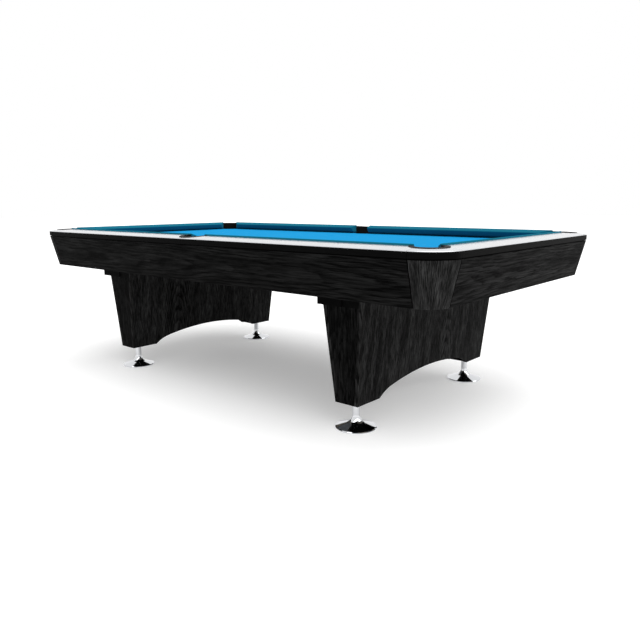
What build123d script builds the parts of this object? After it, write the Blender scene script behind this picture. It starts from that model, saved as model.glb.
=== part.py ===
from build123d import *
import math
import os

# A nine-foot slate pool table on two arched pedestals with levelling feet.
# Millimetres. The origin is on the floor under the table's centre, +X runs along the
# table from the head to the foot, +Y to the left of a player at the head, +Z up.

# Playing field, nose to nose, and the outline of the rails around it
FIELD_LENGTH = 2540.0
FIELD_WIDTH = 1270.0
TABLE_LENGTH = 2845.0
TABLE_WIDTH = 1575.0
CORNER_RADIUS = 134.0
HALF_LENGTH = TABLE_LENGTH / 2
HALF_WIDTH = TABLE_WIDTH / 2
RAIL_WIDTH = (TABLE_LENGTH - FIELD_LENGTH) / 2

# Heights above the floor
PEDESTAL_BOTTOM = 121.0
BOLSTER_BOTTOM = 555.0
APRON_BOTTOM = 612.0
FRAME_BOTTOM = 640.0
FRAME_TOP = 760.0
SLATE_TOP = 786.0
BED_TOP = 787.0
APRON_TOP = 790.0
BAND_BOTTOM = 795.0
BAND_TOP = 820.0
RAIL_TOP = 831.7

# Rails: wood with a silver laminate over a crowned top, highest at its inner edge
LAMINATE = 2.8
CROWN_START = 3.0
WOOD_WIDTH = 105.0
GROOVE_DEPTH = 12.0
RAIL_SEAT_INSET = 25.0
SEAM_GAP = 0.8

# The seams between the corner pieces and the straight pieces
SEAM_X = HALF_LENGTH - 141.0
SEAM_Y = HALF_WIDTH - 141.0

# Cushions: rubber with a cloth skin, from the wood to the nose
CLOTH = 1.0
NOSE_RADIUS = 3.0
NOSE_HEIGHT = 36.3
CUSHION_BOTTOM = 797.0
CUSHION_TOP_SLOPE = math.radians(17.2)
TUCK_DEPTH = 3.0
CUSHION_FACE_SLOPE = math.radians(52.0)

# Pockets
CORNER_MOUTH = 118.0
CORNER_FACING = math.radians(180.0 - 142.0)
CORNER_HOLE_OFFSET = 29.0
SIDE_MOUTH = 130.0
SIDE_FACING = math.radians(180.0 - 104.0)
SIDE_HOLE_OFFSET = 63.0
SIDE_BUCKET_SHIFT = 32.0
BUCKET_BEND = 700.0
BUCKET_BOTTOM = 650.0
THROAT_LENGTH = 95.0
LINER_RADIUS = 60.0
LINER_WALL = 4.0
LINER_CLEARANCE = 0.4
LINER_FRONT_TOP = 778.0
FLANGE_RADIUS = 76.0
FLANGE_GAP = 0.2
FLANGE_LIFT = 1.6
LINER_TOP = RAIL_TOP + 2.0
SLATE_HOLE_RADIUS = 61.0
SLATE_HOLE_CHAMFER = 4.0

# Cabinet: aprons that lean in towards the floor, and round posts at the corners
APRON_THICKNESS = 18.0
APRON_TOP_INSET = 2.0
APRON_BOTTOM_INSET = 46.7
SEAM_GROOVE_WIDTH = 5.0
SEAM_GROOVE_DEPTH = 6.0

# Slate bed in three pieces, and the wooden frame under it
SLATE_INSET = 28.0
SLATE_PIECE = (TABLE_LENGTH - 2 * SLATE_INSET) / 3
SIDE_BEAM_INNER = 560.0
SIDE_BEAM_OUTER = 600.0
SIDE_BEAM_HALF = 1215.0
CROSS_BEAM_WIDTH = 80.0
END_BEAM_X = SIDE_BEAM_HALF - CROSS_BEAM_WIDTH / 2

# Pedestals: a tapered box of four panels with an arch in its two wide ones
PEDESTAL_X = 848.0
PEDESTAL_TOP_LENGTH = 221.7
PEDESTAL_TOP_WIDTH = 1211.4
PEDESTAL_BOTTOM_LENGTH = 123.0
PEDESTAL_BOTTOM_WIDTH = 1144.7
PANEL = 18.0
BOLSTER_OVERHANG = {"head": 55.0, "foot": 20.0}
ARCH_HALF = 409.0
ARCH_SHOULDER = (322.0, 162.5)
ARCH_CROWN = 195.5
FOOT_BLOCK_INNER = 418.0
FOOT_BLOCK_TOP = 205.0

# Levelling feet
FOOT_Y = 501.6
FOOT_RADIUS = 93.0
FOOT_TUBE_RADIUS = 17.0
FOOT_RIM = (1.5, 5.0)
FOOT_RIM_BEVEL = (3.0, 2.5)
FLARE_START_HEIGHT = 62.0
FLARE_END = (40.0, 23.0)
STUD_RADIUS = 9.95
STUD_TOP = 196.0
STUD_CHAMFER = 1.5
THREAD_BORE = 10.03
INSERT_RADIUS = 16.0
INSERT_HOLE_RADIUS = 16.1
INSERT_FLANGE_RADIUS = 24.0
INSERT_FLANGE = 4.0
PAD_RADIUS = 85.0
PAD_CLEARANCE = 0.5
PAD_THICKNESS = 4.0
PAD_PIVOT_TOP = 13.0
PIVOT_SOCKET_TOP = 14.0

# Fasteners and sights
BOLT_RADIUS = 5.0
BOLT_HOLE_RADIUS = 5.2
BOLT_HEAD_RADIUS = 10.0
BOLT_HEAD = 8.0
BOLT_SLATE_HOLE = 7.0
RAIL_BOLT_INSET = 72.0
RAIL_BOLT_TOP = 812.0
END_RAIL_BOLT_YS = (-400.0, 0.0, 400.0)
SIDE_RAIL_BOLT_XS = (250.0, 640.0, 1030.0)
LEG_BOLT_Y = 250.0
LEG_BOLT_TOP = 700.0
SCREW_RADIUS = 3.0
SCREW_HOLE_RADIUS = 3.2
SCREW_HEAD_RADIUS = 6.0
SCREW_HEAD = 6.0
SCREW_BOTTOM = 725.0
SCREW_SINK = 1.0
SCREW_XS = (120.0, 410.0, 520.0, 780.0, 1130.0)
SIGHT_RADIUS = 5.5
SIGHT_CLEARANCE = 0.1
SIGHT_THICKNESS = 1.5
SIGHT_FROM_NOSE = 93.7
DIAMOND_PITCH = FIELD_LENGTH / 8

ENDS = {"head": -1, "foot": 1}
SIDES = {"left": 1, "right": -1}
ABOVE = 900.0  # well clear over the table, for cuts that go right through


# ---------------------------------------------------------------- helpers


def block(x_range, y_range, z_range):
    """A box between two limits on each axis, given in either order."""
    low = [min(pair) for pair in (x_range, y_range, z_range)]
    high = [max(pair) for pair in (x_range, y_range, z_range)]
    middle = [(a + b) / 2 for a, b in zip(low, high)]
    size = [b - a for a, b in zip(low, high)]
    return Pos(*middle) * Box(*size)


def rod(x, y, radius, bottom, top):
    """An upright cylinder."""
    return Pos(x, y, (bottom + top) / 2) * Cylinder(radius, top - bottom)


def prism(points, bottom, top, margin=0.0):
    """An upright prism over a plan outline, which can be grown by a margin."""
    outline = make_face(Polyline(*points, close=True))
    if margin > 0:
        outline = offset(outline, margin, kind=Kind.INTERSECTION)
    return extrude(Pos(0, 0, bottom) * outline, amount=top - bottom, dir=(0, 0, 1))


def plate(inset, bottom, top):
    """The table's rounded outline, inset from its edge, between two heights."""
    outline = RectangleRounded(
        TABLE_LENGTH - 2 * inset, TABLE_WIDTH - 2 * inset, CORNER_RADIUS - inset
    )
    return extrude(Pos(0, 0, bottom) * outline, amount=top - bottom)


def section(place, arcs, lines):
    """A flat section from three-point arcs and polylines, put in space by place."""
    edges = [ThreePointArc(*[place(u, z) for u, z in points]) for points in arcs]
    edges += [Polyline(*[place(u, z) for u, z in points]) for points in lines]
    return make_face(edges)


def group(solids):
    """Several separate solids as one node."""
    return Compound(children=[part for solid in solids for part in solid.solids()])


def save(name, shape):
    """Write one node."""
    export_step(shape, f"parts/{name}.step")


# ---------------------------------------------------------------- pockets


def corner_pocket(end, side):
    """Centre and throat outline of a corner pocket."""
    tip = CORNER_MOUTH / math.sqrt(2)
    run = THROAT_LENGTH * math.cos(CORNER_FACING)
    rise = THROAT_LENGTH * math.sin(CORNER_FACING)
    x, y = FIELD_LENGTH / 2, FIELD_WIDTH / 2
    throat = [
        (x - tip, y),
        (x - tip + run, y + rise),
        (x + rise, y - tip + run),
        (x, y - tip),
        (x - tip, y - tip),
    ]
    centre = (x + CORNER_HOLE_OFFSET, y + CORNER_HOLE_OFFSET)
    return (end * centre[0], side * centre[1]), [(end * a, side * b) for a, b in throat]


def side_pocket(side):
    """Centre and throat outline of a side pocket."""
    half, y = SIDE_MOUTH / 2, FIELD_WIDTH / 2
    run = THROAT_LENGTH * math.cos(SIDE_FACING)
    rise = THROAT_LENGTH * math.sin(SIDE_FACING)
    # the throat stops at the hole's centre line, where the round hole takes over
    rise_used = SIDE_HOLE_OFFSET
    run_used = run * rise_used / rise
    throat = [
        (-half, side * y),
        (-half + run_used, side * (y + rise_used)),
        (half - run_used, side * (y + rise_used)),
        (half, side * y),
        (half, side * (y - half)),
        (-half, side * (y - half)),
    ]
    return (0.0, side * (y + SIDE_HOLE_OFFSET)), throat


def all_pockets():
    """Name, centre and throat of the six pockets."""
    pockets = {}
    for end_name, end in ENDS.items():
        for side_name, side in SIDES.items():
            pockets[f"{end_name}_{side_name}"] = corner_pocket(end, side)
    for side_name, side in SIDES.items():
        pockets[f"side_{side_name}"] = side_pocket(side)
    return pockets


POCKETS = all_pockets()


def pocket_voids(margin=0.0):
    """Everything that the pockets cut out of the rails, caps and cushions."""
    voids = []
    for (x, y), throat in POCKETS.values():
        hole = rod(x, y, LINER_RADIUS + LINER_CLEARANCE + margin, SLATE_TOP, ABOVE)
        voids.append(hole + prism(throat, SLATE_TOP, ABOVE, margin))
    return voids


def bucket(centre, shift, radius, bottom):
    """Outer form of a liner below the slate, leaning in by shift towards the table's middle."""
    x, y = centre
    inward = -shift if y > 0 else shift
    straight = rod(x, y, radius, FRAME_TOP, SLATE_TOP)
    upper = Pos(x, y, FRAME_TOP) * Circle(radius)
    lower = Pos(x, y + inward, BUCKET_BEND) * Circle(radius)
    chute = loft([lower, upper], ruled=True)
    return straight + chute + rod(x, y + inward, radius, bottom, BUCKET_BEND)


def pocket_liner(name, under_flange, over_flange):
    """A moulded liner: an open collar with a flange that follows the crown of the rails,
    between under_flange and over_flange, and a drop bucket below."""
    centre, throat = POCKETS[name]
    x, y = centre
    shift = SIDE_BUCKET_SHIFT if name.startswith("side") else 0.0
    inner_radius = LINER_RADIUS - LINER_WALL
    flange = rod(x, y, FLANGE_RADIUS, BAND_TOP, LINER_TOP) - under_flange
    flange -= rail_opening(FLANGE_GAP)
    collar = rod(x, y, LINER_RADIUS, SLATE_TOP, LINER_TOP) + flange - over_flange
    collar -= rod(x, y, inner_radius, SLATE_TOP, ABOVE)
    outer = bucket(centre, shift, LINER_RADIUS, BUCKET_BOTTOM)
    inner = bucket(centre, shift, inner_radius, BUCKET_BOTTOM + LINER_WALL)
    return collar + (outer - inner) - prism(throat, LINER_FRONT_TOP, ABOVE)


# ---------------------------------------------------------------- rails


def crown_height(inset):
    """Height of the rails' crowned top at an inset from the table's edge."""
    reach = WOOD_WIDTH - CROWN_START
    drop = RAIL_TOP - (BAND_TOP + LAMINATE)
    radius = (reach**2 + drop**2) / (2 * drop)
    return RAIL_TOP - radius + math.sqrt(radius**2 - (WOOD_WIDTH - inset) ** 2)


def crown_arc(lift):
    """Three points of the crown in section, from its outer to its inner end."""
    insets = (CROWN_START, (CROWN_START + WOOD_WIDTH) / 2, WOOD_WIDTH)
    return [(inset, crown_height(inset) + lift) for inset in insets]


def wood_section(place):
    """The wooden rail: crown, outer band, groove and the seat on the bed."""
    crown = crown_arc(-LAMINATE)
    outside = [
        crown[0],
        (0, BAND_TOP),
        (0, BAND_BOTTOM),
        (GROOVE_DEPTH, BAND_BOTTOM),
        (GROOVE_DEPTH, APRON_TOP),
        (RAIL_SEAT_INSET, APRON_TOP),
        (RAIL_SEAT_INSET, BED_TOP),
        (WOOD_WIDTH, BED_TOP),
        crown[2],
    ]
    return section(place, [crown], [outside])


def laminate_section(place):
    """The silver laminate over the crown, rolled over the outer edge."""
    above, below = crown_arc(0.0), crown_arc(-LAMINATE)
    rolled = math.cos(math.radians(45))
    edge = [
        (0, BAND_TOP),
        (CROWN_START * (1 - rolled), BAND_TOP + LAMINATE * rolled),
        above[0],
    ]
    return section(place, [edge, above, below], [[above[2], below[2]], [below[0], edge[0]]])


def under_flange_section(place):
    """Everything under the liners' flanges: they clear the crown by a small gap."""
    crown = crown_arc(FLANGE_GAP)
    under = [crown[0], (CROWN_START, BED_TOP), (WOOD_WIDTH, BED_TOP), crown[2]]
    return section(place, [crown], [under])


def over_flange_section(place):
    """Everything over the liners' flanges, whose tops follow the crown."""
    crown = crown_arc(FLANGE_LIFT)
    over = [crown[0], (CROWN_START, ABOVE), (WOOD_WIDTH, ABOVE), crown[2]]
    return section(place, [crown], [over])


def all_round(section_at):
    """Run a section all the way round the table: straight runs and quarter turns."""
    run_x = HALF_LENGTH - CORNER_RADIUS
    run_y = HALF_WIDTH - CORNER_RADIUS
    body = Part()
    for sign in (-1, 1):
        long_face = section_at(lambda u, z: (-run_x, sign * (HALF_WIDTH - u), z))
        body += extrude(long_face, amount=2 * run_x, dir=(1, 0, 0))
        short_face = section_at(lambda u, z: (sign * (HALF_LENGTH - u), -run_y, z))
        body += extrude(short_face, amount=2 * run_y, dir=(0, 1, 0))
    for end in ENDS.values():
        for side in SIDES.values():
            if end == side:
                face = section_at(lambda u, z: (end * (HALF_LENGTH - u), side * run_y, z))
            else:
                face = section_at(lambda u, z: (end * run_x, side * (HALF_WIDTH - u), z))
            body += revolve(face, Axis((end * run_x, side * run_y, 0), (0, 0, 1)), 90)
    return body - rail_opening()


def rail_opening(margin=0.0):
    """The rectangle inside the wood of the rails, grown by a margin."""
    length = TABLE_LENGTH - 2 * (WOOD_WIDTH - margin)
    width = TABLE_WIDTH - 2 * (WOOD_WIDTH - margin)
    return Pos(0, 0, (SLATE_TOP + ABOVE) / 2) * Box(length, width, ABOVE - SLATE_TOP)


def rail_bolt_places():
    """Plan positions of the bolts that hold the rails down, by rail."""
    end_x = HALF_LENGTH - RAIL_BOLT_INSET
    side_y = HALF_WIDTH - RAIL_BOLT_INSET
    places = {}
    for end_name, end in ENDS.items():
        places[f"rail_{end_name}"] = [(end * end_x, y) for y in END_RAIL_BOLT_YS]
        for side_name, side in SIDES.items():
            name = f"rail_{side_name}_{end_name}"
            places[name] = [(end * x, side * side_y) for x in SIDE_RAIL_BOLT_XS]
    return places


def sight_places():
    """Plan positions of the eighteen diamond sights, one pitch apart, none at a pocket."""
    along_side = HALF_WIDTH - RAIL_WIDTH + SIGHT_FROM_NOSE
    along_end = HALF_LENGTH - RAIL_WIDTH + SIGHT_FROM_NOSE
    sides = [(n * DIAMOND_PITCH, s * along_side) for n in (-3, -2, -1, 1, 2, 3) for s in (-1, 1)]
    ends = [(s * along_end, n * DIAMOND_PITCH) for n in (-1, 0, 1) for s in (-1, 1)]
    return sides + ends


def rail_regions():
    """The box that each of the six rails is cut out of the perimeter with."""
    z = (FRAME_TOP, ABOVE)
    regions = {}
    for end_name, end in ENDS.items():
        x = (end * (HALF_LENGTH - WOOD_WIDTH), end * (HALF_LENGTH + 1))
        y = (SEAM_GAP - SEAM_Y, SEAM_Y - SEAM_GAP)
        regions[f"rail_{end_name}"] = block(x, y, z)
        for side_name, side in SIDES.items():
            x = (end * SEAM_GAP, end * (SEAM_X - SEAM_GAP))
            y = (side * (HALF_WIDTH - WOOD_WIDTH), side * (HALF_WIDTH + 1))
            regions[f"rail_{side_name}_{end_name}"] = block(x, y, z)
    return regions


def corner_regions():
    """The box that each of the four corner pieces is cut out with."""
    regions = {}
    for end_name, end in ENDS.items():
        for side_name, side in SIDES.items():
            x = (end * (SEAM_X + SEAM_GAP), end * (HALF_LENGTH + 1))
            y = (side * (SEAM_Y + SEAM_GAP), side * (HALF_WIDTH + 1))
            regions[f"{end_name}_{side_name}"] = block(x, y, (FRAME_TOP, ABOVE))
    return regions


def sight_rods(radius):
    """Rods at the sights' places, from the bottom of their inlay upwards."""
    bottom = crown_height(RAIL_WIDTH - SIGHT_FROM_NOSE) - SIGHT_THICKNESS
    return [rod(x, y, radius, bottom, ABOVE) for x, y in sight_places()]


def build_rails(voids):
    """Wooden rails with bolt holes, their laminates and the corner caps."""
    wood = all_round(wood_section) - voids
    laminate = all_round(laminate_section)
    inlays = sight_rods(SIGHT_RADIUS + SIGHT_CLEARANCE)
    bolts = rail_bolt_places()
    for name, region in rail_regions().items():
        holes = [
            rod(x, y, BOLT_HOLE_RADIUS, FRAME_TOP, RAIL_BOLT_TOP + 2) for x, y in bolts[name]
        ]
        save(name, (wood & region) - holes)
    cut = laminate - voids
    save("rail_top_laminates", group([(cut & r) - inlays for r in rail_regions().values()]))
    for name, region in corner_regions().items():
        save(f"corner_cap_{name}", wood & region)
    save("corner_cap_tops", group([cut & region for region in corner_regions().values()]))
    save("rail_sights", group([laminate & sight for sight in sight_rods(SIGHT_RADIUS)]))


# ---------------------------------------------------------------- cushions


def cushion_outline(skin):
    """Arcs and lines of the cushion's section as (distance from the table's edge, height).
    The ridge at the back and the nose have one radius. skin thickens the rubber evenly."""
    radius = NOSE_RADIUS + skin
    nose_u = RAIL_WIDTH - CLOTH - NOSE_RADIUS
    nose_z = BED_TOP + NOSE_HEIGHT
    ridge_u = WOOD_WIDTH + CLOTH + NOSE_RADIUS
    ridge_z = nose_z + (nose_u - ridge_u) * math.tan(CUSHION_TOP_SLOPE)

    def round_the(u, z, angle):
        return (u + radius * math.cos(angle), z + radius * math.sin(angle))

    top_angle = math.pi / 2 - CUSHION_TOP_SLOPE
    ridge = [round_the(ridge_u, ridge_z, a) for a in (math.pi, (math.pi + top_angle) / 2, top_angle)]
    nose = [round_the(nose_u, nose_z, a) for a in (top_angle, 0, CUSHION_FACE_SLOPE - math.pi / 2)]
    face_u, face_z = nose[2]
    foot_z = CUSHION_BOTTOM - skin
    foot_u = face_u - (face_z - foot_z) / math.tan(CUSHION_FACE_SLOPE)
    back = [nose[2], (foot_u, foot_z), (WOOD_WIDTH, foot_z)]
    if skin == 0:
        # the rubber steps in where the cloth is tucked down behind it
        tuck_z = RAIL_TOP - TUCK_DEPTH
        back += [(WOOD_WIDTH, tuck_z), (WOOD_WIDTH + CLOTH, tuck_z)]
    return [ridge, nose], [[ridge[2], nose[0]], back + [ridge[0]]]


def cushion_run(skin, place, along, length):
    """A straight cushion: its section, put in space by place, run along a direction."""
    arcs, lines = cushion_outline(skin)
    return extrude(section(place, arcs, lines), amount=length, dir=along)


def cushion_runs(skin):
    """The six straight cushion runs, long enough to be trimmed at the pockets."""
    runs = {}
    for end_name, end in ENDS.items():
        runs[end_name] = cushion_run(
            skin,
            lambda u, z, end=end: (end * (HALF_LENGTH - u), -SEAM_Y, z),
            (0, 1, 0),
            2 * SEAM_Y,
        )
        for side_name, side in SIDES.items():
            runs[f"{side_name}_{end_name}"] = cushion_run(
                skin,
                lambda u, z, side=side: (0.0, side * (HALF_WIDTH - u), z),
                (end, 0, 0),
                SEAM_X,
            )
    return runs


def build_cushions(voids):
    """Rubber cushions, and the cloth stretched over them and round on to their ends."""
    runs = cushion_runs(0.0)
    covered = cushion_runs(CLOTH)
    rubber_voids = pocket_voids(CLOTH)
    cloths = []
    for name, run in runs.items():
        rubber = run - rubber_voids
        save(f"cushion_{name}", rubber)
        cloths.append(covered[name] - voids - rubber)
    save("rail_cloths", group(cloths))


# ---------------------------------------------------------------- bed


def slate_cuts():
    """Round holes at the corners and open notches at the sides of the slate."""
    cuts = []
    middle = SLATE_TOP - SLATE_HOLE_CHAMFER / 2
    for name, ((x, y), _) in POCKETS.items():
        cuts.append(rod(x, y, SLATE_HOLE_RADIUS, FRAME_BOTTOM, ABOVE))
        rim_radius = SLATE_HOLE_RADIUS + SLATE_HOLE_CHAMFER
        rim = Cone(SLATE_HOLE_RADIUS, rim_radius, SLATE_HOLE_CHAMFER)
        cuts.append(Pos(x, y, middle) * rim)
        cuts.append(rod(x, y, rim_radius, SLATE_TOP, BED_TOP))
        if name.startswith("side"):
            notch = (y, math.copysign(HALF_WIDTH, y))
            cuts.append(
                block((-SLATE_HOLE_RADIUS, SLATE_HOLE_RADIUS), notch, (FRAME_BOTTOM, ABOVE))
            )
    return cuts


def slate_screw_places():
    """Plan positions of the screws that hold the slate to the side beams."""
    y = (SIDE_BEAM_INNER + SIDE_BEAM_OUTER) / 2
    return [
        (end * x, side * y)
        for x in SCREW_XS
        for end in (-1, 1)
        for side in (-1, 1)
    ]


def slate_screw(x, y):
    """A countersunk screw, its head just under the slate's face."""
    head_top = SLATE_TOP - SCREW_SINK
    shank = rod(x, y, SCREW_RADIUS, SCREW_BOTTOM, head_top - SCREW_HEAD)
    return shank + rod(x, y, SCREW_HEAD_RADIUS, head_top - SCREW_HEAD, head_top)


def screw_holes():
    """Pilot holes in the beams and counterbores in the slate."""
    holes = []
    for x, y in slate_screw_places():
        holes.append(rod(x, y, SCREW_HOLE_RADIUS, SCREW_BOTTOM - 1, SLATE_TOP))
        seat = SLATE_TOP - SCREW_SINK - SCREW_HEAD
        holes.append(rod(x, y, SCREW_HEAD_RADIUS + 0.4, seat, SLATE_TOP))
    return holes


def build_bed():
    """Three slates, the cloth over them and the screws that hold them."""
    pocket_cuts = slate_cuts()
    bolt_holes = [
        rod(x, y, BOLT_SLATE_HOLE, FRAME_BOTTOM, BED_TOP)
        for places in rail_bolt_places().values()
        for x, y in places
    ]
    cuts = pocket_cuts + bolt_holes
    whole = plate(SLATE_INSET, FRAME_TOP, SLATE_TOP)
    for name, x in (("head", -SLATE_PIECE), ("middle", 0.0), ("foot", SLATE_PIECE)):
        span = (x - SLATE_PIECE / 2, x + SLATE_PIECE / 2)
        piece = whole & block(span, (-HALF_WIDTH, HALF_WIDTH), (FRAME_TOP, SLATE_TOP))
        save(f"slate_{name}", piece - cuts - screw_holes())
    save("bed_cloth", plate(SLATE_INSET, SLATE_TOP, BED_TOP) - cuts)
    save("slate_screws", group([slate_screw(x, y) for x, y in slate_screw_places()]))


def build_frame():
    """Two long beams and six cross beams that carry the slate."""
    z = (FRAME_BOTTOM, FRAME_TOP)
    holes = screw_holes()
    sides = []
    for side in (-1, 1):
        y = (side * SIDE_BEAM_INNER, side * SIDE_BEAM_OUTER)
        sides.append(block((-SIDE_BEAM_HALF, SIDE_BEAM_HALF), y, z) - holes)
    save("frame_side_beams", group(sides))
    bolt_holes = [
        rod(end * PEDESTAL_X, side * LEG_BOLT_Y, BOLT_HOLE_RADIUS, FRAME_BOTTOM, LEG_BOLT_TOP + 2)
        for end in (-1, 1)
        for side in (-1, 1)
    ]
    crosses = []
    for x in (SLATE_PIECE / 2, PEDESTAL_X, END_BEAM_X):
        for end in (-1, 1):
            span = (end * x - CROSS_BEAM_WIDTH / 2, end * x + CROSS_BEAM_WIDTH / 2)
            beam = block(span, (-SIDE_BEAM_INNER, SIDE_BEAM_INNER), z)
            crosses.append(beam - bolt_holes)
    save("frame_cross_beams", group(crosses))


# ---------------------------------------------------------------- cabinet


def leaning_plate(extra_inset):
    """The cabinet's outline between its bottom and top, leaning in towards the floor."""
    rise = APRON_TOP - APRON_BOTTOM
    lean = APRON_BOTTOM_INSET - APRON_TOP_INSET
    inset = APRON_BOTTOM_INSET + extra_inset
    outline = RectangleRounded(
        TABLE_LENGTH - 2 * inset, TABLE_WIDTH - 2 * inset, CORNER_RADIUS - inset
    )
    angle = math.degrees(math.atan2(lean, rise))
    return extrude(Pos(0, 0, APRON_BOTTOM) * outline, amount=rise, taper=-angle)


def seam_grooves():
    """Narrow grooves in the cabinet's face along the eight upright seams."""
    z = (APRON_BOTTOM - 1, APRON_TOP + 1)
    half = SEAM_GROOVE_WIDTH / 2
    strips = []
    for end in (-1, 1):
        x = (end * SEAM_X - half, end * SEAM_X + half)
        strips.append(block(x, (-HALF_WIDTH, HALF_WIDTH), z))
    for side in (-1, 1):
        y = (side * SEAM_Y - half, side * SEAM_Y + half)
        strips.append(block((-HALF_LENGTH, HALF_LENGTH), y, z))
    return strips


def build_cabinet():
    """Four leaning aprons and four round corner posts."""
    core = leaning_plate(SEAM_GROOVE_DEPTH)
    grooves = [strip - core for strip in seam_grooves()]
    shell = leaning_plate(0) - leaning_plate(APRON_THICKNESS) - grooves
    z = (APRON_BOTTOM - 1, APRON_TOP + 1)
    for end_name, end in ENDS.items():
        x = (end * SEAM_X, end * HALF_LENGTH)
        save(f"apron_{end_name}", shell & block(x, (-SEAM_Y, SEAM_Y), z))
        for side_name, side in SIDES.items():
            y = (side * SEAM_Y, side * HALF_WIDTH)
            save(f"corner_post_{end_name}_{side_name}", shell & block(x, y, z))
    for side_name, side in SIDES.items():
        y = (side * SEAM_Y, side * HALF_WIDTH)
        save(f"apron_{side_name}", shell & block((-SEAM_X, SEAM_X), y, z))


# ---------------------------------------------------------------- pedestals


def pedestal_form():
    """The tapered outer form of a pedestal, centred on the origin, up to the frame."""

    def size_at(z):
        share = (z - PEDESTAL_BOTTOM) / (APRON_BOTTOM - PEDESTAL_BOTTOM)
        length = PEDESTAL_BOTTOM_LENGTH + share * (PEDESTAL_TOP_LENGTH - PEDESTAL_BOTTOM_LENGTH)
        width = PEDESTAL_BOTTOM_WIDTH + share * (PEDESTAL_TOP_WIDTH - PEDESTAL_BOTTOM_WIDTH)
        return length, width

    bottom = Pos(0, 0, PEDESTAL_BOTTOM) * Rectangle(*size_at(PEDESTAL_BOTTOM))
    top = Pos(0, 0, FRAME_BOTTOM) * Rectangle(*size_at(FRAME_BOTTOM))
    return loft([bottom, top], ruled=True)


def arch_cut():
    """A basket arch through the pedestal along X: a wide crown arc with tighter shoulders."""
    reach = PEDESTAL_TOP_LENGTH
    shoulder_y, shoulder_z = ARCH_SHOULDER
    crown_rise = ARCH_CROWN - shoulder_z
    crown_radius = (shoulder_y**2 + crown_rise**2) / (2 * crown_rise)
    slope = math.asin(shoulder_y / crown_radius)
    low = PEDESTAL_BOTTOM
    crown = ThreePointArc(
        (-reach, -shoulder_y, shoulder_z), (-reach, 0, ARCH_CROWN), (-reach, shoulder_y, shoulder_z)
    )
    shoulders = [
        TangentArc(
            (-reach, side * shoulder_y, shoulder_z),
            (-reach, side * ARCH_HALF, low),
            tangent=(0, side * math.cos(slope), -math.sin(slope)),
        )
        for side in (-1, 1)
    ]
    base = Polyline(
        (-reach, -ARCH_HALF, low),
        (-reach, -ARCH_HALF, low - 1),
        (-reach, ARCH_HALF, low - 1),
        (-reach, ARCH_HALF, low),
    )
    return extrude(make_face([crown, *shoulders, base]), amount=2 * reach, dir=(1, 0, 0))


def bolster(overhang_length):
    """The black beam across a pedestal's top, which stands out on the head side."""
    form = pedestal_form()
    beam_top_half = form.bounding_box().size.X / 2
    x = (-beam_top_half - overhang_length, beam_top_half)
    y = form.bounding_box().size.Y / 2
    beam = block(x, (-y, y), (BOLSTER_BOTTOM, FRAME_BOTTOM))
    outside_panel = Pos(-PANEL, 0, 0) * form
    overhang = block((x[0], 0), (-y, y), (BOLSTER_BOTTOM, FRAME_BOTTOM))
    kept = beam & (outside_panel + overhang)
    holes = [
        rod(0, side * LEG_BOLT_Y, BOLT_HOLE_RADIUS, BOLSTER_BOTTOM, FRAME_BOTTOM)
        for side in (-1, 1)
    ]
    return kept - holes


def leveler_insert(y):
    """A flanged steel insert with a plain bore in place of its thread."""
    sleeve = rod(0, y, INSERT_RADIUS, PEDESTAL_BOTTOM, FOOT_BLOCK_TOP)
    sleeve += rod(0, y, INSERT_FLANGE_RADIUS, FOOT_BLOCK_TOP, FOOT_BLOCK_TOP + INSERT_FLANGE)
    return sleeve - rod(0, y, THREAD_BORE, PEDESTAL_BOTTOM, ABOVE)


def build_pedestals():
    """Two identical pedestals, with foot blocks and threaded inserts for the feet."""
    form = pedestal_form()
    between_wide = (Pos(-PANEL, 0, 0) * form) & (Pos(PANEL, 0, 0) * form)
    between_ends = (Pos(0, -PANEL, 0) * form) & (Pos(0, PANEL, 0) * form)
    arch = arch_cut()
    under_bolster = block(
        (-PEDESTAL_TOP_LENGTH, PEDESTAL_TOP_LENGTH),
        (-PEDESTAL_TOP_WIDTH, PEDESTAL_TOP_WIDTH),
        (PEDESTAL_BOTTOM, BOLSTER_BOTTOM),
    )
    wide_plus = form - (Pos(-PANEL, 0, 0) * form) - arch
    wide_minus = ((form - (Pos(PANEL, 0, 0) * form)) & under_bolster) - arch
    ends = (between_wide - between_ends) & under_bolster
    hollow = between_wide & between_ends
    blocks = []
    inserts = []
    for side in (-1, 1):
        y = (side * FOOT_BLOCK_INNER, side * PEDESTAL_BOTTOM_WIDTH)
        x = (-PEDESTAL_TOP_LENGTH, PEDESTAL_TOP_LENGTH)
        solid = hollow & block(x, y, (PEDESTAL_BOTTOM, FOOT_BLOCK_TOP))
        hole = rod(0, side * FOOT_Y, INSERT_HOLE_RADIUS, PEDESTAL_BOTTOM, FOOT_BLOCK_TOP)
        blocks.append(solid - hole)
        inserts.append(leveler_insert(side * FOOT_Y))
    for end_name, end in ENDS.items():
        place = Pos(end * PEDESTAL_X, 0, 0)
        outer, inner = (wide_plus, wide_minus) if end > 0 else (wide_minus, wide_plus)
        save(f"pedestal_{end_name}_outer_panel", place * outer)
        save(f"pedestal_{end_name}_inner_panel", place * inner)
        save(f"pedestal_{end_name}_end_panels", group([place * ends]))
        beam = bolster(BOLSTER_OVERHANG[end_name])
        save(f"pedestal_{end_name}_bolster", place * beam)
    places = [Pos(end * PEDESTAL_X, 0, 0) for end in (-1, 1)]
    save("pedestal_foot_blocks", group([place * solid for place in places for solid in blocks]))
    save("leveler_inserts", group([place * solid for place in places for solid in inserts]))


# ---------------------------------------------------------------- feet


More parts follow.
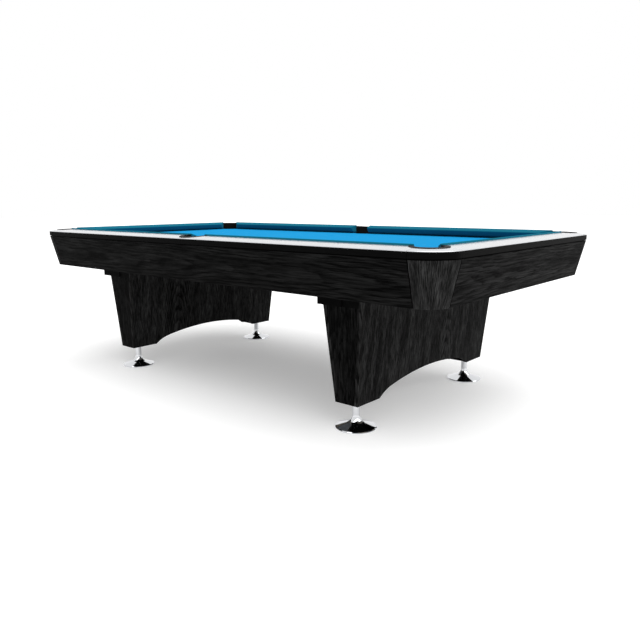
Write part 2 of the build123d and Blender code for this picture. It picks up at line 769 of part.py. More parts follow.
def foot(x, y):
    """A chrome trumpet foot with its stud, which turns on the pad's pivot."""
    rim_bottom, rim_top = FOOT_RIM
    bevel_width, bevel_rise = FOOT_RIM_BEVEL
    flare_start = (FOOT_TUBE_RADIUS, FLARE_START_HEIGHT)
    recess = PAD_RADIUS + PAD_CLEARANCE
    flare = TangentArc(flare_start, FLARE_END, tangent=(0, -1))
    outline = Polyline(
        FLARE_END,
        (FOOT_RADIUS - bevel_width, rim_top + bevel_rise),
        (FOOT_RADIUS, rim_top),
        (FOOT_RADIUS, rim_bottom),
        (recess, rim_bottom),
        (recess, PAD_THICKNESS),
        (THREAD_BORE, PAD_THICKNESS),
        (THREAD_BORE, PIVOT_SOCKET_TOP),
        (0, PIVOT_SOCKET_TOP),
        (0, STUD_TOP),
        (STUD_RADIUS - STUD_CHAMFER, STUD_TOP),
        (STUD_RADIUS, STUD_TOP - STUD_CHAMFER),
        (STUD_RADIUS, PEDESTAL_BOTTOM),
        (FOOT_TUBE_RADIUS, PEDESTAL_BOTTOM),
        flare_start,
    )
    face = Plane.XZ * make_face([flare, outline])
    return Pos(x, y, 0) * revolve(face, Axis.Z)


def foot_pad(x, y):
    """The floor pad, with the pivot that the foot turns on."""
    return rod(x, y, PAD_RADIUS, 0, PAD_THICKNESS) + rod(x, y, STUD_RADIUS, 0, PAD_PIVOT_TOP)


def build_feet():
    """Four feet and their pads."""
    for end_name, end in ENDS.items():
        for side_name, side in SIDES.items():
            x, y = end * PEDESTAL_X, side * FOOT_Y
            save(f"foot_{end_name}_{side_name}", foot(x, y))
            save(f"foot_pad_{end_name}_{side_name}", foot_pad(x, y))


# ---------------------------------------------------------------- bolts


def hex_bolt(x, y, seat, top):
    """A hex bolt pointing up, its head under the seat."""
    head = Pos(x, y, seat - BOLT_HEAD) * RegularPolygon(BOLT_HEAD_RADIUS, 6)
    return extrude(head, amount=BOLT_HEAD) + rod(x, y, BOLT_RADIUS, seat, top)


def build_bolts():
    """Bolts that hold the rails to the slate and the pedestals to the frame."""
    bolts = [
        hex_bolt(x, y, FRAME_TOP, RAIL_BOLT_TOP)
        for places in rail_bolt_places().values()
        for x, y in places
    ]
    for end in (-1, 1):
        for side in (-1, 1):
            x, y = end * PEDESTAL_X, side * LEG_BOLT_Y
            bolts.append(hex_bolt(x, y, BOLSTER_BOTTOM, LEG_BOLT_TOP))
    save("hex_bolts", group(bolts))


# ---------------------------------------------------------------- the whole table


def main():
    os.makedirs("parts", exist_ok=True)
    voids = pocket_voids()
    build_rails(voids)
    build_cushions(voids)
    under_flange = all_round(under_flange_section)
    over_flange = all_round(over_flange_section)
    for name in POCKETS:
        save(f"pocket_liner_{name}", pocket_liner(name, under_flange, over_flange))
    build_bed()
    build_frame()
    build_cabinet()
    build_pedestals()
    build_feet()
    build_bolts()


main()
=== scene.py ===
"""Looks of the slate pool table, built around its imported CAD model."""

import math

import bmesh
import bpy
from mathutils import Euler, Matrix, Vector
from mathutils.geometry import delaunay_2d_cdt


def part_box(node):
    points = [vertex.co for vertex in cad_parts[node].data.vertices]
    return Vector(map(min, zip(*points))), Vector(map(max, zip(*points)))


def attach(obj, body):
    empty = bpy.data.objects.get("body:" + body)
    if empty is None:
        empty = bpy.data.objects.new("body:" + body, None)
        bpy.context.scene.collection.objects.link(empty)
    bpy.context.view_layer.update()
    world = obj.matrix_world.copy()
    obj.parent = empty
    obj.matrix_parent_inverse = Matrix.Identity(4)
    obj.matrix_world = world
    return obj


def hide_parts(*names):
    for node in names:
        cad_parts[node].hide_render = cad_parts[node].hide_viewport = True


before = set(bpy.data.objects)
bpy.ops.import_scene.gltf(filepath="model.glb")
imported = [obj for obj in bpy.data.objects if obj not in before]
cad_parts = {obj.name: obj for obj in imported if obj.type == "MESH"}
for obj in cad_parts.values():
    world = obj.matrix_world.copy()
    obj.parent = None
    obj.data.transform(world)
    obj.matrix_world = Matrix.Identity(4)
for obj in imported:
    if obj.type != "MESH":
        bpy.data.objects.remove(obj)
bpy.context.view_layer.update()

ENDS = {"head": -1, "foot": 1}
SIDES = {"left": 1, "right": -1}
CABINET = "cabinet"

# Sizes read from the frame
HALF_LENGTH, HALF_WIDTH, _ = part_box("corner_cap_tops")[1]
BED_HALF_X, BED_HALF_Y, BED_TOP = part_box("bed_cloth")[1]
RAIL_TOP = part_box("rail_top_laminates")[1].z
WOOD_WIDTH = HALF_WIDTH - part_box("rail_cloths")[1].y  # a rail's wood, from edge to cushion

# Cabinet, playing field and pockets, as the CAD cuts them (metres)
CORNER_RADIUS = 0.134  # of the round posts, in plan
BED_CORNER_RADIUS = 0.106
FIELD_HALF_X = 1.270
FIELD_HALF_Y = 0.635
NOSE_HEIGHT = 0.0363
CLOTH_ROUND = 0.004  # outer radius of the cloth at a cushion's nose and ridge
TOP_SLOPE = math.radians(17.2)
FACE_SLOPE = math.radians(52)
RAIL_WIDTH = HALF_WIDTH - FIELD_HALF_Y
CORNER_TIP = 0.118 / math.sqrt(2)
CORNER_FACING = math.radians(38)
SIDE_TIP = 0.065
SIDE_FACING = math.radians(76)
CORNER_HOLE = (FIELD_HALF_X + 0.029, FIELD_HALF_Y + 0.029)
SIDE_HOLE = (0.0, FIELD_HALF_Y + 0.063)
HOLE_RADIUS = 0.0605  # just inside the slate's holes
HOLE_ROLL = 0.0045  # radius of the bed cloth's rolled edge at a hole
HOLE_TURN_DOWN = 0.009  # straight cloth below that roll
HOLE_RIM = HOLE_RADIUS + HOLE_ROLL

# Cloth at a cushion's slit, foot and ends (metres)
RIDGE_SKIM = 0.0003  # how far the cloth stays inside the CAD's ridge
FACE_FOOT = 0.009  # height over the bed at which the face turns under
END_ROLL = 0.0016  # how far the sheet stops short of a facing
END_STEPS = ((0.0004, 0.0006), (0.0014, 0.0001), (0.0030, 0.0))  # (inward, off the facing)
CLOTH_STATIONS = 96  # steps along a cushion

# Outline of a chrome foot (metres)
TUBE_RADIUS = 0.017
TUBE_TOP = 0.121
FLARE_TOP = 0.062
FLARE_FOOT = (0.040, 0.023)  # radius and height at which the flare meets the disc
RECESS_RADII = (0.010, 0.0855)  # of the ring-shaped recess over the pad
RECESS_TOP = 0.004
RIM_BOTTOM = 0.0015
RIM_TOP = 0.005
RIM_BEVEL = (0.003, 0.0025)  # inward and upward
STUD_RADIUS = 0.00995
STUD_TIP = (0.0085, 0.0015)  # radius of the flat tip, and height of its chamfer

# Camera and light
CAMERA_PLACE = (2.4502, -2.6065, 0.9900)
CAMERA_YAW, CAMERA_PITCH, CAMERA_ROLL = (math.radians(a) for a in (130.76, 8.064, -0.267))
CAMERA_LENS = 34.79
CAMERA_SHIFT = (0.001, -0.0469)
FLOOR_HALF = 40.0
FLOOR_GLOW = 0.28
SURROUND_LIGHT = 0.55  # the white surround's strength for diffuse light; it looks like 1.0
OVERHEAD_STRENGTH = 2.95
OVERHEAD_SPREAD = math.radians(90)
OVERHEAD_TILT = (math.radians(3), math.radians(22), 0)


# ---------------------------------------------------------------- node helpers


class Shader:
    """A material's node tree, with short calls that add and join nodes."""

    def __init__(self, name):
        self.material = bpy.data.materials.new(name)
        self.material.use_nodes = True
        self.tree = self.material.node_tree
        self.bsdf = self.tree.nodes["Principled BSDF"]

    def node(self, kind, **settings):
        made = self.tree.nodes.new(kind)
        for key, value in settings.items():
            setattr(made, key, value)
        return made

    def feed(self, target, value):
        """Join an output to an input, or set the input's own number or colour."""
        if isinstance(value, bpy.types.NodeSocket):
            self.tree.links.new(value, target)
        else:
            target.default_value = value

    def math(self, operation, a, b=0.0, clamp=False):
        made = self.node("ShaderNodeMath", operation=operation, use_clamp=clamp)
        self.feed(made.inputs[0], a)
        self.feed(made.inputs[1], b)
        return made.outputs[0]

    def add(self, a, b):
        return self.math("ADD", a, b)

    def times(self, a, b):
        return self.math("MULTIPLY", a, b)

    def mix(self, share, a, b):
        made = self.node("ShaderNodeMix", data_type="RGBA")
        self.feed(made.inputs["Factor"], share)
        self.feed(made.inputs[6], a)
        self.feed(made.inputs[7], b)
        return made.outputs[2]

    def place(self):
        """The point's place in its piece's own space, in metres."""
        return self.node("ShaderNodeTexCoord").outputs["Object"]

    def mapped(self, vector, scale=(1, 1, 1), location=(0, 0, 0), rotation=(0, 0, 0)):
        made = self.node("ShaderNodeMapping")
        self.feed(made.inputs["Vector"], vector)
        made.inputs["Scale"].default_value = scale
        made.inputs["Location"].default_value = location
        made.inputs["Rotation"].default_value = rotation
        return made.outputs[0]

    def noise(self, vector, scale, detail=2.0, roughness=0.5):
        made = self.node("ShaderNodeTexNoise")
        self.feed(made.inputs["Vector"], vector)
        made.inputs["Scale"].default_value = scale
        made.inputs["Detail"].default_value = detail
        made.inputs["Roughness"].default_value = roughness
        return made.outputs["Fac"]

    def ramp(self, value, stops):
        """A grey ramp; stops are (position, grey)."""
        made = self.node("ShaderNodeValToRGB")
        self.feed(made.inputs[0], value)
        elements = made.color_ramp.elements
        while len(elements) < len(stops):
            elements.new(0.5)
        for element, (position, grey) in zip(elements, stops):
            element.position = position
            element.color = (grey, grey, grey, 1)
        return made.outputs[0]

    def bump(self, height, strength, distance):
        made = self.node("ShaderNodeBump")
        self.feed(made.inputs["Height"], height)
        made.inputs["Strength"].default_value = strength
        made.inputs["Distance"].default_value = distance
        self.tree.links.new(made.outputs[0], self.bsdf.inputs["Normal"])

    def set(self, **values):
        """Set or join the principled shader's inputs."""
        for key, value in values.items():
            self.feed(self.bsdf.inputs[key.replace("_", " ")], value)


def grey(value):
    return (value, value, value, 1.0)


def wear(obj, material):
    """Give an object this one material."""
    obj.data.materials.clear()
    obj.data.materials.append(material)
    for polygon in obj.data.polygons:
        polygon.material_index = 0


# ---------------------------------------------------------------- materials

# Turns that bring a board's grain direction onto the texture's X axis
ALONG = {
    "x": (0, 0, 0),
    "y": (0, 0, -math.pi / 2),
    "z": (0, math.pi / 2, 0),
}
BOARD_STEP = 3.7  # distance along the grain between two boards' places in the texture
RINGS_PER_METRE = 115.0


def flat_board(s, along, heart, seed):
    """Texture space of a sawn board: its X axis is the grain, its origin the tree's heart."""
    turned = s.mapped(s.place(), rotation=ALONG[along])
    centre = Euler(ALONG[along]).to_matrix() @ Vector(heart)
    return s.mapped(turned, location=(seed * BOARD_STEP, -centre.y, -centre.z))


def round_board(s, axis, seed):
    """Texture space of veneer bent round an upright axis: the grain runs up the cone."""
    split = s.node("ShaderNodeSeparateXYZ")
    s.feed(split.inputs[0], s.place())
    angle = s.math(
        "ARCTAN2",
        s.math("SUBTRACT", split.outputs[1], axis[1]),
        s.math("SUBTRACT", split.outputs[0], axis[0]),
    )
    wrapped = s.node("ShaderNodeCombineXYZ")
    s.feed(wrapped.inputs[0], split.outputs[2])
    s.feed(wrapped.inputs[1], s.times(angle, CORNER_RADIUS))
    place = (seed * BOARD_STEP, 0.12, 0.0)
    return s.mapped(wrapped.outputs[0], scale=(2.5, 1.2, 1.0), location=place)


def early_wood(s, board):
    """Share of soft early wood: rings round the heart of a tree that tapers, and whose
    centre line wanders a little along the board."""
    split = s.node("ShaderNodeSeparateXYZ")
    s.feed(split.inputs[0], board)
    length, across, depth = split.outputs
    radius = s.math("SQRT", s.add(s.times(across, across), s.times(depth, depth)))
    radius = s.add(radius, s.times(length, 0.02))
    wander = s.noise(s.mapped(board, scale=(1.3, 2.0, 2.0)), 1.0, 2.0)
    radius = s.add(radius, s.times(wander, 0.035))
    ripple = s.noise(s.mapped(board, scale=(9.0, 40.0, 40.0)), 1.0, 2.0)
    radius = s.add(radius, s.times(ripple, 0.009))
    rings = s.math("FRACT", s.times(radius, RINGS_PER_METRE))
    return s.ramp(rings, [(0.0, 1.0), (0.25, 0.8), (0.55, 0.15), (0.9, 0.0), (1.0, 1.0)])


def black_oak(s, board, dark=0.001, light=0.012, cathedral=0.3):
    """Black stained oak in a board's texture space. Boards cut near the tree's heart show
    faint cathedral arches. dark and light are the greys of the stained pores and of the
    hard late wood."""
    early = early_wood(s, board)
    # open pores: short dark dashes along the grain, thickest in the early wood
    dashes = s.noise(s.mapped(board, scale=(22.0, 520.0, 520.0)), 1.0, 2.0, 0.6)
    pores = s.ramp(dashes, [(0.46, 1.0), (0.56, 0.0)])
    pore_depth = s.times(pores, s.add(s.times(early, 0.7), 0.2))
    fibres = s.noise(s.mapped(board, scale=(8.0, 180.0, 180.0)), 1.0, 3.0, 0.6)
    bands = s.noise(s.mapped(board, scale=(3.2, 24.0, 24.0)), 1.0, 2.0, 0.5)
    lightness = s.times(s.math("SUBTRACT", 1.0, early), cathedral)
    lightness = s.add(lightness, s.ramp(fibres, [(0.38, 0.02), (0.66, 0.75)]))
    lightness = s.times(lightness, s.ramp(bands, [(0.32, 0.5), (0.68, 1.35)]))
    lightness = s.math("SUBTRACT", lightness, s.times(pore_depth, 0.4), clamp=True)
    s.set(Base_Color=s.mix(lightness, grey(dark), grey(light)))
    s.set(Roughness=s.add(s.times(lightness, -0.1), 0.6), Specular_IOR_Level=0.008)
    s.bump(s.math("SUBTRACT", s.times(fibres, 0.35), pore_depth), 0.35, 0.0004)
    return s.material


def rail_lacquer(name):
    """Smooth black lacquer over fine-grained wood, for the bands under the rail tops."""
    s = Shader(name)
    fine = s.noise(s.mapped(s.place(), scale=(6, 6, 60)), 4.0, 3.0)
    s.set(Base_Color=s.mix(fine, grey(0.001), grey(0.004)))
    s.set(Roughness=0.4, Specular_IOR_Level=0.01)
    s.bump(fine, 0.12, 0.0004)
    return s.material


def silver_top(name):
    """Pearl silver laminate: a faint brushed streak under a satin clear coat."""
    s = Shader(name)
    place = s.place()
    fine = s.noise(s.mapped(place, scale=(160, 160, 40)), 3.0, 3.0, 0.65)
    cloud = s.noise(place, 5.0, 2.0)
    tone = s.add(s.times(fine, 0.5), s.times(cloud, 0.5))
    s.set(Base_Color=s.mix(tone, (0.54, 0.55, 0.57, 1), (0.68, 0.69, 0.71, 1)))
    s.set(Metallic=0.7, Roughness=s.add(s.times(fine, 0.08), 0.17))
    s.set(Coat_Weight=0.15, Coat_Roughness=0.12)
    s.bump(fine, 0.04, 0.0002)
    return s.material


def blue_cloth(name, dark, light):
    """Worsted blue cloth: a fine twill with a faint nap, between two shades."""
    s = Shader(name)
    place = s.place()
    cloud = s.noise(place, 2.2, 3.0)
    nap = s.noise(s.mapped(place, scale=(900, 900, 900)), 1.0, 2.0, 0.7)
    twill = s.node("ShaderNodeTexWave", wave_type="BANDS", bands_direction="DIAGONAL")
    s.feed(twill.inputs["Vector"], place)
    twill.inputs["Scale"].default_value = 420.0
    twill.inputs["Distortion"].default_value = 1.2
    tone = s.add(s.times(cloud, 0.45), s.times(nap, 0.3))
    tone = s.add(tone, s.times(twill.outputs["Fac"], 0.25))
    s.set(Base_Color=s.mix(tone, dark, light))
    s.set(Roughness=0.95, Specular_IOR_Level=0.02)
    s.set(Sheen_Weight=0.02, Sheen_Roughness=0.5, Sheen_Tint=(0.6, 0.8, 1.0, 1))
    s.bump(s.add(nap, twill.outputs["Fac"]), 0.25, 0.0003)
    return s.material


def black_rubber(name, rough):
    """Moulded black rubber or nylon with a faint pebble."""
    s = Shader(name)
    pebble = s.noise(s.place(), 900.0, 2.0)
    patch = s.noise(s.place(), 18.0, 2.0)
    s.set(Base_Color=s.mix(patch, grey(0.0015), grey(0.006)))
    s.set(Roughness=s.add(s.times(patch, 0.12), rough), Specular_IOR_Level=0.08)
    s.bump(pebble, 0.2, 0.0003)
    return s.material


def gum_rubber(name):
    """Tan cushion rubber."""
    s = Shader(name)
    patch = s.noise(s.place(), 25.0, 3.0)
    s.set(Base_Color=s.mix(patch, (0.26, 0.13, 0.06, 1), (0.40, 0.22, 0.11, 1)))
    s.set(Roughness=0.7)
    s.bump(patch, 0.1, 0.0004)
    return s.material


def metal(name, colour, rough, grain):
    """Bare or plated metal with a faint uneven polish."""
    s = Shader(name)
    smudge = s.noise(s.place(), grain, 3.0)
    s.set(Base_Color=colour, Metallic=1.0)
    s.set(Roughness=s.add(s.times(smudge, rough * 0.6), rough * 0.7))
    return s.material


def slate_stone(name):
    """Honed slate, dark grey with soft clouds and fine cleavage lines."""
    s = Shader(name)
    cloud = s.noise(s.place(), 3.0, 4.0)
    lines = s.noise(s.mapped(s.place(), scale=(6, 6, 400)), 1.0, 3.0)
    s.set(Base_Color=s.mix(cloud, (0.045, 0.05, 0.056, 1), (0.10, 0.105, 0.115, 1)))
    s.set(Roughness=0.62)
    s.bump(lines, 0.2, 0.0004)
    return s.material


def plain_wood(name, dark, light, along):
    """Plain sawn beam wood."""
    s = Shader(name)
    turned = s.mapped(s.place(), rotation=ALONG[along])
    grain = s.noise(s.mapped(turned, scale=(1.5, 45, 45)), 1.0, 4.0, 0.6)
    s.set(Base_Color=s.mix(grain, dark, light), Roughness=0.72, Specular_IOR_Level=0.02)
    s.bump(grain, 0.2, 0.0006)
    return s.material


def pearl(name):
    """Mother-of-pearl sight inlay."""
    s = Shader(name)
    shimmer = s.noise(s.place(), 260.0, 3.0)
    s.set(Base_Color=s.mix(shimmer, (0.60, 0.63, 0.68, 1), (0.86, 0.84, 0.82, 1)))
    s.set(Roughness=0.22, Coat_Weight=0.6, Coat_Roughness=0.06)
    return s.material


# ---------------------------------------------------------------- mesh helpers


def arc_points(centre, radius, start, stop, steps=8):
    """Points of an arc in a plane, from one angle to another."""
    points = []
    for i in range(steps + 1):
        angle = start + (stop - start) * i / steps
        points.append((centre[0] + radius * math.cos(angle), centre[1] + radius * math.sin(angle)))
    return points


def circle(centre, radius, count=56):
    """Points of a full circle, the first one not repeated."""
    return arc_points(centre, radius, 0, 2 * math.pi, count)[:-1]


def between(start, stop, shares):
    """Points at given shares of a straight line."""
    return [
        (start[0] + (stop[0] - start[0]) * share, start[1] + (stop[1] - start[1]) * share)
        for share in shares
    ]


def join_rows(bm, row, following):
    """Faces between two open rows of vertices."""
    for i in range(len(row) - 1):
        bm.faces.new((row[i], row[i + 1], following[i + 1], following[i]))


def turned_rings(bm, centre, profile, count=56):
    """A surface turned round an upright axis from (radius, height) points; gives its rings."""
    rings = []
    for radius, z in profile:
        rings.append([bm.verts.new((x, y, z)) for x, y in circle(centre, radius, count)])
    for ring, following in zip(rings, rings[1:]):
        join_rows(bm, ring + ring[:1], following + following[:1])
    return rings


def mesh_object(bm, name, material, smooth=True):
    """Turn a bmesh into an object of the scene with one material."""
    mesh = bpy.data.meshes.new(name)
    bm.to_mesh(mesh)
    bm.free()
    for polygon in mesh.polygons:
        polygon.use_smooth = smooth
    obj = bpy.data.objects.new(name, mesh)
    bpy.context.scene.collection.objects.link(obj)
    wear(obj, material)
    return obj


# ---------------------------------------------------------------- cloth on the cushions


def cushion_section():
    """The cloth's outer line over a cushion as (inset from the table's edge, height): up
    out of the slit behind it, over the ridge, down to the nose and under to the bed."""
    nose = (RAIL_WIDTH - CLOTH_ROUND, BED_TOP + NOSE_HEIGHT)
    ridge_u = WOOD_WIDTH + CLOTH_ROUND
    ridge = (ridge_u, nose[1] + (nose[0] - ridge_u) * math.tan(TOP_SLOPE))
    top = math.pi / 2 - TOP_SLOPE
    over_ridge = arc_points(ridge, CLOTH_ROUND - RIDGE_SKIM, math.pi, top)
    over_nose = arc_points(nose, CLOTH_ROUND, top, FACE_SLOPE - math.pi / 2, 10)
    tuck_u = over_ridge[0][0]
    tuck = [(tuck_u, RAIL_TOP - 0.0025), (tuck_u, RAIL_TOP - 0.0005)]
    tuck += between((tuck_u, RAIL_TOP), over_ridge[0], (0.0, 0.35, 0.7))
    slope = between(over_ridge[-1], over_nose[0], (0.15, 0.35, 0.55, 0.75, 0.9))
    foot_z = BED_TOP + FACE_FOOT
    face_u, face_z = over_nose[-1]
    foot = (face_u - (face_z - foot_z) / math.tan(FACE_SLOPE), foot_z)
    face = between((face_u, face_z), foot, (0.25, 0.5, 0.75, 0.95))
    under = [
        (foot[0] - 0.003, foot_z - 0.0004),
        (WOOD_WIDTH + 0.008, foot_z),
        (WOOD_WIDTH + 0.0012, foot_z - 0.0008),
        (WOOD_WIDTH + 0.0008, BED_TOP + 0.0006),
    ]
    return tuck + over_ridge + slope + over_nose + face + under


def rail_ends(name):
    """For a cushion: how far its two tips lie along the rail, with each facing's angle, and
    the function that puts (inset, along, height) into the frame."""
    if name in ENDS:
        end = ENDS[name]
        tip = FIELD_HALF_Y - CORNER_TIP
        ends = ((-tip, CORNER_FACING), (tip, CORNER_FACING))

        def place(u, along, z):
            return Vector((end * (HALF_LENGTH - u), along, z))

        return ends, place
    side_name, end_name = name.split("_")
    side, end = SIDES[side_name], ENDS[end_name]
    ends = ((SIDE_TIP, SIDE_FACING), (FIELD_HALF_X - CORNER_TIP, CORNER_FACING))

    def place(u, along, z):
        return Vector((end * along, side * (HALF_WIDTH - u), z))

    return ends, place


def end_along(tip, facing, sign, u):
    """Where a facing lies along the rail at an inset: it runs back from the nose's tip."""
    return tip + sign * (RAIL_WIDTH - u) / math.tan(facing)


def cushion_cloth(name, material):
    """The cloth of one cushion: one sheet over the top, nose and face, wrapped on to both
    facings, with the small fold that closes each end."""
    section = cushion_section()
    ends, place = rail_ends(name)
    (low_tip, low_facing), (high_tip, high_facing) = ends
    bm = bmesh.new()
    rows = []
    for i in range(CLOTH_STATIONS + 1):
        share = i / CLOTH_STATIONS
        row = []
        for u, z in section:
            a = end_along(low_tip, low_facing, -1, u) + END_ROLL
            b = end_along(high_tip, high_facing, 1, u) - END_ROLL
            row.append(bm.verts.new(place(u, a + (b - a) * share, z)))
        rows.append(row)
    for row, following in zip(rows, rows[1:]):
        join_rows(bm, row, following)
    close_end(bm, section, rows[0], place, low_tip, low_facing, -1)
    close_end(bm, section, rows[-1], place, high_tip, high_facing, 1)
    bmesh.ops.recalc_face_normals(bm, faces=bm.faces)
    return mesh_object(bm, f"rail_cloth_{name}", material)


def close_end(bm, section, row, place, tip, facing, sign):
    """Wrap the cloth round on to a facing: a rolled edge, then a flat inset face."""
    middle_u = sum(u for u, _ in section) / len(section)
    middle_z = sum(z for _, z in section) / len(section)
    previous = row
    for inward, back in END_STEPS:
        inner = []
        for u, z in section:
            reach = math.hypot(middle_u - u, middle_z - z)
            step = min(inward / max(reach, 1e-6), 0.5)
            new_u = u + (middle_u - u) * step
            new_z = z + (middle_z - z) * step
            along = end_along(tip, facing, sign, new_u) - sign * back
            inner.append(bm.verts.new(place(new_u, along, new_z)))
        join_rows(bm, previous, inner)
        previous = inner
    bm.faces.new(previous)


# ---------------------------------------------------------------- cloth on the bed


def hole_places():
    """Centres of the six pocket holes."""
    corners = [(e * CORNER_HOLE[0], s * CORNER_HOLE[1]) for e in (-1, 1) for s in (-1, 1)]
    return corners + [(0.0, s * SIDE_HOLE[1]) for s in (-1, 1)]


def clear_of_holes(point, reach):
    return all((point - Vector(centre)).length > reach - 1e-6 for centre in hole_places())


def bed_outline():
    """The bed cloth's outer outline, with round corners."""
    points = []
    for quarter, (x, y) in enumerate(((1, 1), (-1, 1), (-1, -1), (1, -1))):
        start = quarter * math.pi / 2
        centre = (x * (BED_HALF_X - BED_CORNER_RADIUS), y * (BED_HALF_Y - BED_CORNER_RADIUS))
        points += arc_points(centre, BED_CORNER_RADIUS, start, start + math.pi / 2)
    return points


def inside_bed(point):
    """Whether a plan point is inside the bed's rounded outline."""
    dx = abs(point.x) - (BED_HALF_X - BED_CORNER_RADIUS)
    dy = abs(point.y) - (BED_HALF_Y - BED_CORNER_RADIUS)
    if dx > 0 and dy > 0:
        return math.hypot(dx, dy) < BED_CORNER_RADIUS
    return abs(point.x) < BED_HALF_X and abs(point.y) < BED_HALF_Y


def bed_grid(spacing=0.045, margin=0.02):
    """Plan points all over the bed, clear of the pocket holes."""
    steps_x, steps_y = int(BED_HALF_X / spacing), int(BED_HALF_Y / spacing)
    points = []
    for i in range(-steps_x, steps_x + 1):
        for j in range(-steps_y, steps_y + 1):
            point = Vector((i * spacing, j * spacing))
            if clear_of_holes(point, HOLE_RIM + margin):
                points.append(point)
    return points


def bed_cloth(material):
    """One sheet over the slates: flat in the field, rolled down into each pocket hole."""
    loops = [bed_outline()] + [circle(centre, HOLE_RIM) for centre in hole_places()]
    points, edges = [], []
    for loop in loops:
        first = len(points)
        points += [Vector(p) for p in loop]
        edges += [(first + i, first + (i + 1) % len(loop)) for i in range(len(loop))]
    verts, _, faces, *_ = delaunay_2d_cdt(points + bed_grid(), edges, [], 0, 1e-6)
    bm = bmesh.new()
    z = BED_TOP - 0.0001
    made = [bm.verts.new((v.x, v.y, z)) for v in verts]
    for face in faces:
        middle = sum((verts[i] for i in face), Vector((0, 0))) / len(face)
        if clear_of_holes(middle, HOLE_RIM) and inside_bed(middle):
            bm.faces.new([made[i] for i in face])
    for centre in hole_places():
        turned_rings(bm, centre, rolled_rim(z))
    bmesh.ops.remove_doubles(bm, verts=bm.verts, dist=1e-5)
    loose = [v for v in bm.verts if not v.link_faces]
    bmesh.ops.delete(bm, geom=loose, context="VERTS")
    bmesh.ops.recalc_face_normals(bm, faces=bm.faces)
    return mesh_object(bm, "bed_cloth_sheet", material)


def rolled_rim(top):
    """(radius, height) of the cloth that turns down over the slate's edge at a pocket."""
    profile = arc_points((HOLE_RIM, top - HOLE_ROLL), HOLE_ROLL, math.pi / 2, math.pi, 6)
    return profile + [(HOLE_RADIUS, top - HOLE_ROLL - HOLE_TURN_DOWN)]


# ---------------------------------------------------------------- dressing the frame


def dress_cad_nodes():
    """Every CAD node that shows gets its finish."""
    lacquer = rail_lacquer("black_lacquer")
    silver = silver_top("pearl_silver")
    zinc = metal("zinc_steel", (0.62, 0.63, 0.65, 1), 0.38, 30.0)
    beam_x = plain_wood("beam_wood_long", (0.20, 0.175, 0.145, 1), (0.33, 0.30, 0.26, 1), "x")
    beam_y = plain_wood("beam_wood_cross", (0.19, 0.165, 0.135, 1), (0.31, 0.28, 0.24, 1), "y")
    painted = plain_wood("painted_bolster", grey(0.0008), grey(0.003), "y")
    fixed = {
        "rail_top_laminates": silver,
        "corner_cap_tops": silver,
        "rail_sights": pearl("pearl_inlay"),
        "frame_side_beams": beam_x,
        "frame_cross_beams": beam_y,
        "pedestal_foot_blocks": painted,
        "pedestal_head_bolster": painted,
        "pedestal_foot_bolster": painted,
        "leveler_inserts": zinc,
        "hex_bolts": zinc,
        "slate_screws": zinc,
    }
    families = {
        "rail_": lacquer,
        "corner_cap_": lacquer,
        "cushion_": gum_rubber("gum_rubber"),
        "pocket_liner_": black_rubber("pocket_rubber", 0.5),
        "slate_": slate_stone("honed_slate"),
        "foot_pad_": black_rubber("pad_nylon", 0.45),
    }
    for name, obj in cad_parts.items():
        family = [finish for prefix, finish in families.items() if name.startswith(prefix)]
        if name in fixed:
            wear(obj, fixed[name])
        elif family:
            wear(obj, family[0])


def box_middle(node):
    """The middle of a node's box."""
    low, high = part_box(node)
    return (low + high) / 2


def oak_board(node, along, heart, seed, **finish):
    """Dress a node as a sawn oak board whose tree had its heart at that place."""
    s = Shader(f"oak_{node}")
    wear(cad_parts[node], black_oak(s, flat_board(s, along, heart, seed), **finish))


def dress_aprons():
    """The aprons' grain runs along the table's sides and ends."""
    inset = 0.13  # of the tree's heart from the table's edge
    for seed, (name, side) in enumerate(SIDES.items(), start=1):
        oak_board(f"apron_{name}", "x", (0, side * (HALF_WIDTH - inset), 0.72), seed)
    for seed, (name, end) in enumerate(ENDS.items(), start=4):
        heart = (end * (HALF_LENGTH - inset), 0, 0.71)
        # Painted light: the end aprons wear a lighter copy of the side aprons' oak (light 0.018
        # against 0.012), for the light that falls on the table's ends.
        oak_board(f"apron_{name}", "y", heart, seed, light=0.018)


def dress_posts():
    """The round corner posts have upright grain."""
    for number, (end_name, end) in enumerate(ENDS.items()):
        for side_name, side in SIDES.items():
            name = f"corner_post_{end_name}_{side_name}"
            axis = (end * (HALF_LENGTH - CORNER_RADIUS), side * (HALF_WIDTH - CORNER_RADIUS))
            s = Shader(f"oak_{name}")
            grain = round_board(s, axis, number + side * 7)
            # Painted light: the posts wear a much lighter copy of the aprons' oak (dark 0.004,
            # light 0.048), for the light that the round posts catch.
            wear(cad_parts[name], black_oak(s, grain, 0.004, 0.048, 0.15))


def dress_pedestals():
    """The pedestals' panels have upright grain, plainer on the narrow end panels."""
    for number, (end_name, end) in enumerate(ENDS.items()):
        for panel, way in (("outer_panel", 1), ("inner_panel", -1)):
            name = f"pedestal_{end_name}_{panel}"
            heart = (box_middle(name).x - end * way * 0.10, 0.4 * number - 0.25, 0)
            oak_board(name, "z", heart, number * 3 + way + 11, light=0.033)
        name = f"pedestal_{end_name}_end_panels"
        heart = (box_middle(name).x + 0.03, 0, 0)
        oak_board(name, "z", heart, number + 21, light=0.015, cathedral=0.0)


# ---------------------------------------------------------------- feet


